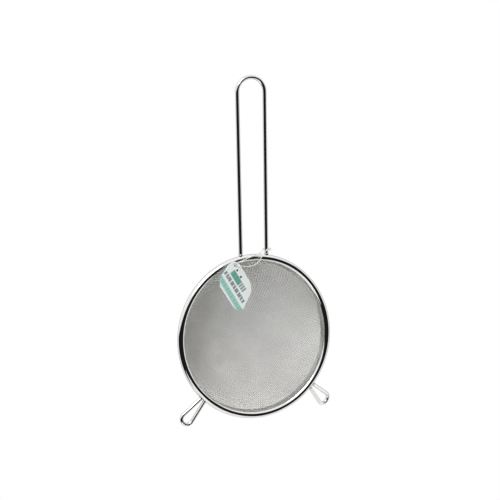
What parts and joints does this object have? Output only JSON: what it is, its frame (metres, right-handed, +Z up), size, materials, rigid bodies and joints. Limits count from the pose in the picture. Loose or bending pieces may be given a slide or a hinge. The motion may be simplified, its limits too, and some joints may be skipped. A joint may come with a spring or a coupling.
{
  "type": "tea strainer",
  "caption": "Round wire-mesh tea strainer with a rolled rim, a long hairpin wire handle, wire loops that rest on a cup, and a card tag on a clear plastic loop.",
  "frame": {"origin": "where a hook bears, on the inside of the round end of the handle", "axes": "the strainer hangs: +Z up along the handle, the bowl opens to -Y and bulges to +Y, +X to the right seen from the open side"},
  "size_m": [0.0816, 0.0286, 0.1665],
  "materials": {
    "cloth": "woven stainless wire, satin",
    "rim": "polished stainless strip",
    "core_wire": "drawn wire, hidden in the rim",
    "bright_wire": "polished stainless wire",
    "card": "white coated card with teal print",
    "clear_plastic": "clear, glossy"
  },
  "bodies": {
    "strainer": {"mesh_bowl": "cloth", "rim_band": "rim", "rim_wire": "core_wire", "handle": "bright_wire", "left_rest": "bright_wire", "right_rest": "bright_wire"},
    "loop": {"tag_loop": "clear_plastic"},
    "tag": {"hang_tag": "card"}
  },
  "joints": [
    {"name": "loop_swing", "type": "hinge", "parent": "strainer", "child": "loop", "pos_m": [0.0067, 0, -0.08185], "axis": [0, 0, 1], "range_deg": [0, 110]},
    {"name": "tag_swing", "type": "hinge", "parent": "loop", "child": "tag", "pos_m": [-0.0108, -0.0032, -0.08825], "axis": [0, -1, 0], "range_deg": [-60, 30]}
  ]
}
